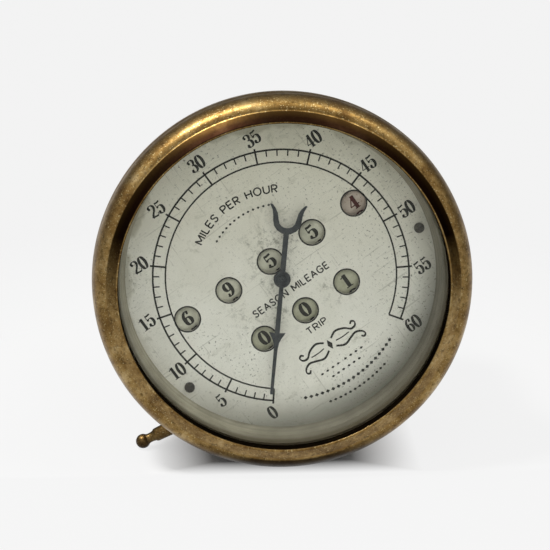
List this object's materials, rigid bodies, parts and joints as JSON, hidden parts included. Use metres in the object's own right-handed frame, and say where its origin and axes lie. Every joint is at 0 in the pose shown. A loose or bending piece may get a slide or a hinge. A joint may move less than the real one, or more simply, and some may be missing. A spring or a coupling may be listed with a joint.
{
  "type": "vehicle speedometer",
  "caption": "Round brass-cased vehicle speedometer with one pointer, season and trip mileage drums, a reset pull and a rear drive-cable ferrule.",
  "frame": {"origin": "centre of the rear mounting face, on the pointer's axis", "axes": "+Y out of the mounting face towards the drive cable, dial facing -Y, +Z towards the dial's twelve o'clock, +X to the viewer's right"},
  "size_m": [0.1111, 0.0725, 0.1016],
  "materials": {
    "bezel_brass": "worn, tarnished",
    "case_brass": "spun, dull",
    "plate_brass": "brushed",
    "glass": "polished",
    "seal": "dull",
    "ring": "olive grey, satin",
    "dial_silver": "silvered, stained",
    "blued_steel": "blued, worn",
    "screw_steel": "oil-dark",
    "bright_steel": "turned",
    "bronze": "turned",
    "drum_white": "aged enamel",
    "drum_pink": "aged enamel",
    "drum_yellow": "aged enamel",
    "cup_aluminium": "spun",
    "magnet_steel": "ground",
    "spring_steel": "blued"
  },
  "bodies": {
    "case": {"case_shell": "case_brass", "case_back": "case_brass", "case_back_screws": "screw_steel", "bezel": "bezel_brass", "glass": "glass", "glass_seal": "seal", "spacer_ring": "ring", "dial": "dial_silver", "dial_posts": "plate_brass", "dial_screws": "screw_steel", "front_plate": "plate_brass", "rear_plate": "plate_brass", "pillars": "plate_brass", "plate_screws": "screw_steel", "movement_screws": "screw_steel", "cable_ferrule": "case_brass", "bushes": "bronze", "pointer_bridge": "plate_brass", "hairspring": "spring_steel", "hairspring_stud": "screw_steel", "drum_shafts": "bright_steel", "transfer_shafts": "bright_steel", "counter_bracket_left": "plate_brass", "counter_bracket_right": "plate_brass", "reset_bush": "case_brass", "reset_spring": "bright_steel", "bail_shaft": "bright_steel"},
    "pointer": {"pointer": "blued_steel", "pointer_cap": "blued_steel", "pointer_arbor": "bright_steel"},
    "pointer_rack": {"pointer_rack": "bright_steel"},
    "speed_cup": {"spindle": "bright_steel", "speed_cup": "cup_aluminium"},
    "main_shaft": {"main_shaft": "bright_steel", "main_gear": "plate_brass"},
    "magnet": {"magnet_shaft": "magnet_steel", "magnet_wheel": "plate_brass", "magnet_ring": "magnet_steel", "field_ring": "magnet_steel"},
    "middle_arbor": {"middle_arbor": "bright_steel", "middle_wheel": "plate_brass"},
    "worm_shaft": {"worm_shaft": "bright_steel", "worm_shaft_wheel": "plate_brass"},
    "season_drum_1": {"season_drum_1": "drum_white"},
    "season_drum_2": {"season_drum_2": "drum_white"},
    "season_drum_3": {"season_drum_3": "drum_white"},
    "season_drum_4": {"season_drum_4": "drum_white"},
    "season_drum_5": {"season_drum_5": "drum_pink"},
    "trip_drum_1": {"trip_drum_1": "drum_yellow"},
    "trip_drum_2": {"trip_drum_2": "drum_yellow"},
    "trip_drum_3": {"trip_drum_3": "drum_yellow"},
    "season_pinion_1": {"season_pinion_1": "plate_brass"},
    "season_pinion_2": {"season_pinion_2": "plate_brass"},
    "season_pinion_3": {"season_pinion_3": "plate_brass"},
    "season_pinion_4": {"season_pinion_4": "plate_brass"},
    "trip_pinion_1": {"trip_pinion_1": "plate_brass"},
    "trip_pinion_2": {"trip_pinion_2": "plate_brass"},
    "reset_stem": {"reset_stem": "bezel_brass"},
    "reset_bail": {"reset_bail": "bright_steel"}
  },
  "joints": [
    {"name": "pointer_swing", "type": "hinge", "parent": "case", "child": "pointer", "pos_m": [0, -0.046, 0], "axis": [0, 1, 0], "range_deg": [0, 285], "stiffness_Nm_per_rad": 0.00015, "springref_deg": -22.92},
    {"name": "rack_slide", "type": "slide", "parent": "case", "child": "pointer_rack", "axis": [-1, 0, 0], "range_m": [0, 0.00797]},
    {"name": "cup_swing", "type": "hinge", "parent": "case", "child": "speed_cup", "pos_m": [-0.02457, -0.026, -0.0046], "axis": [0, -1, 0], "range_deg": [0, 285]},
    {"name": "input_spin", "type": "hinge", "parent": "case", "child": "main_shaft", "pos_m": [0, -0.006, 0], "axis": [0, -1, 0], "continuous": true},
    {"name": "magnet_spin", "type": "hinge", "parent": "case", "child": "magnet", "pos_m": [-0.02457, -0.016, -0.0046], "axis": [0, -1, 0], "continuous": true},
    {"name": "middle_spin", "type": "hinge", "parent": "case", "child": "middle_arbor", "pos_m": [0.02091, -0.016, -0.00192], "axis": [0, -1, 0], "continuous": true},
    {"name": "worm_spin", "type": "hinge", "parent": "case", "child": "worm_shaft", "pos_m": [0.03411, -0.026, -0.00313], "axis": [0, -1, 0], "continuous": true},
    {"name": "season_drum_5_spin", "type": "hinge", "parent": "case", "child": "season_drum_5", "pos_m": [0.0274, -0.0369, 0.0052], "axis": [1, 0, 0], "continuous": true},
    {"name": "season_pinion_4_spin", "type": "hinge", "parent": "case", "child": "season_pinion_4", "pos_m": [0.02055, -0.03457, 0.01389], "axis": [1, 0, 0], "continuous": true},
    {"name": "season_drum_4_spin", "type": "hinge", "parent": "case", "child": "season_drum_4", "pos_m": [0.0137, -0.0369, 0.0052], "axis": [1, 0, 0], "continuous": true},
    {"name": "season_pinion_3_spin", "type": "hinge", "parent": "case", "child": "season_pinion_3", "pos_m": [0.00685, -0.03457, 0.01389], "axis": [1, 0, 0], "continuous": true},
    {"name": "season_drum_3_spin", "type": "hinge", "parent": "case", "child": "season_drum_3", "pos_m": [0, -0.0369, 0.0052], "axis": [1, 0, 0], "continuous": true},
    {"name": "season_pinion_2_spin", "type": "hinge", "parent": "case", "child": "season_pinion_2", "pos_m": [-0.00685, -0.03457, 0.01389], "axis": [1, 0, 0], "continuous": true},
    {"name": "season_drum_2_spin", "type": "hinge", "parent": "case", "child": "season_drum_2", "pos_m": [-0.0137, -0.0369, 0.0052], "axis": [1, 0, 0], "continuous": true},
    {"name": "season_pinion_1_spin", "type": "hinge", "parent": "case", "child": "season_pinion_1", "pos_m": [-0.02055, -0.03457, 0.01389], "axis": [1, 0, 0], "continuous": true},
    {"name": "season_drum_1_spin", "type": "hinge", "parent": "case", "child": "season_drum_1", "pos_m": [-0.0274, -0.0369, 0.0052], "axis": [1, 0, 0], "continuous": true},
    {"name": "trip_drum_3_spin", "type": "hinge", "parent": "case", "child": "trip_drum_3", "pos_m": [0.0136, -0.0369, -0.01145], "axis": [1, 0, 0], "continuous": true},
    {"name": "trip_pinion_2_spin", "type": "hinge", "parent": "case", "child": "trip_pinion_2", "pos_m": [0.0068, -0.03457, -0.02014], "axis": [1, 0, 0], "continuous": true},
    {"name": "trip_drum_2_spin", "type": "hinge", "parent": "case", "child": "trip_drum_2", "pos_m": [0, -0.0369, -0.01145], "axis": [1, 0, 0], "continuous": true},
    {"name": "trip_pinion_1_spin", "type": "hinge", "parent": "case", "child": "trip_pinion_1", "pos_m": [-0.0068, -0.03457, -0.02014], "axis": [1, 0, 0], "continuous": true},
    {"name": "trip_drum_1_spin", "type": "hinge", "parent": "case", "child": "trip_drum_1", "pos_m": [-0.0136, -0.0369, -0.01145], "axis": [1, 0, 0], "continuous": true},
    {"name": "reset_pull", "type": "slide", "parent": "case", "child": "reset_stem", "axis": [-0.9877, 0, 0.1564], "range_m": [0, 0.004], "stiffness_N_per_m": 300, "springref_m": -0.004, "deforming": ["reset_spring"]},
    {"name": "bail_swing", "type": "hinge", "parent": "case", "child": "reset_bail", "pos_m": [0, -0.032, -0.029], "axis": [1, 0, 0], "range_deg": [-4, 0]}
  ],
  "couplings": [
    {"joint": "rack_slide", "follows": "pointer_swing", "m_per_rad": 0.0016},
    {"joint": "cup_swing", "follows": "pointer_swing", "ratio": 1},
    {"joint": "magnet_spin", "follows": "input_spin", "ratio": -1},
    {"joint": "middle_spin", "follows": "input_spin", "ratio": -0.16667},
    {"joint": "worm_spin", "follows": "input_spin", "ratio": 0.093137},
    {"joint": "season_drum_5_spin", "follows": "input_spin", "ratio": 0.0029105},
    {"joint": "season_pinion_4_spin", "follows": "input_spin", "ratio": -0.0014553},
    {"joint": "season_drum_4_spin", "follows": "input_spin", "ratio": 0.00029105},
    {"joint": "season_pinion_3_spin", "follows": "input_spin", "ratio": -0.00014553},
    {"joint": "season_drum_3_spin", "follows": "input_spin", "ratio": 0.000029105},
    {"joint": "season_pinion_2_spin", "follows": "input_spin", "ratio": -0.000014553},
    {"joint": "season_drum_2_spin", "follows": "input_spin", "ratio": 0.0000029105},
    {"joint": "season_pinion_1_spin", "follows": "input_spin", "ratio": -0.0000014553},
    {"joint": "season_drum_1_spin", "follows": "input_spin", "ratio": 0.00000029105},
    {"joint": "trip_drum_3_spin", "follows": "input_spin", "ratio": -0.0029105},
    {"joint": "trip_pinion_2_spin", "follows": "input_spin", "ratio": 0.0014553},
    {"joint": "trip_drum_2_spin", "follows": "input_spin", "ratio": -0.00029105},
    {"joint": "trip_pinion_1_spin", "follows": "input_spin", "ratio": 0.00014553},
    {"joint": "trip_drum_1_spin", "follows": "input_spin", "ratio": -0.000029105},
    {"joint": "bail_swing", "follows": "reset_pull", "rad_per_m": -17.453}
  ]
}
